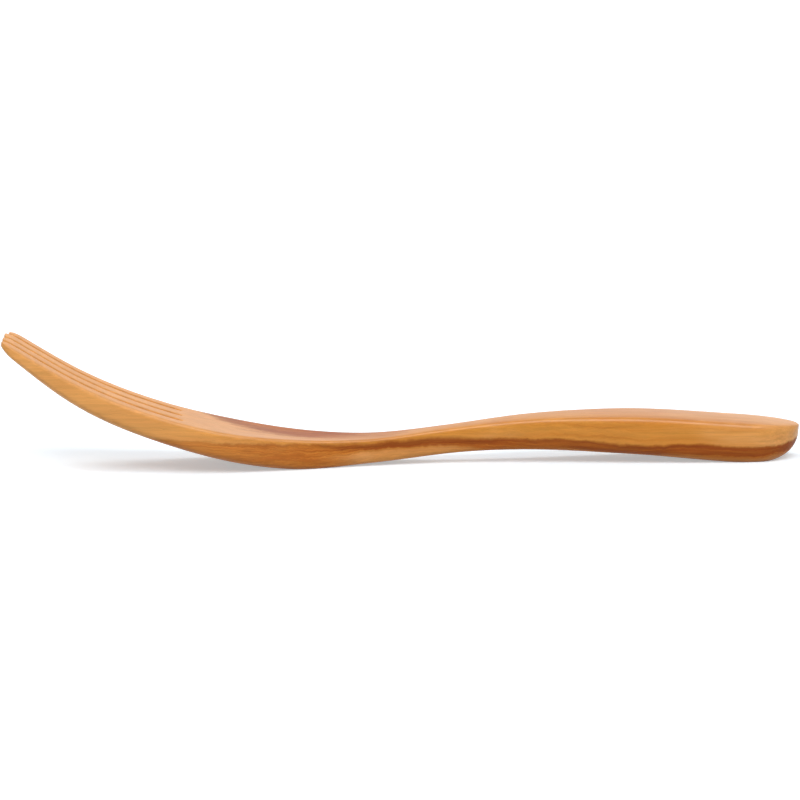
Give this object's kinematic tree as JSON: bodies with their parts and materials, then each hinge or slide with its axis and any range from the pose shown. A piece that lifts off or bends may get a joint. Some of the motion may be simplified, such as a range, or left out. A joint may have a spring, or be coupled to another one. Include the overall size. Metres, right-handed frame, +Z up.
{
  "type": "salad fork",
  "caption": "Carved one-piece wooden salad fork with a scooped, slotted head, slim neck and a grip that widens to a round end.",
  "frame": {"origin": "middle of the fork's length and width, on the table that it lies on", "axes": "+X along the fork towards the end of the grip, +Y across it, +Z up from the table"},
  "size_m": [0.2782, 0.041, 0.0464],
  "materials": {
    "wood": "satin oiled, honey sapwood over a brown heartwood layer"
  },
  "bodies": {
    "root": {"carved_fork": "wood"}
  },
  "joints": []
}
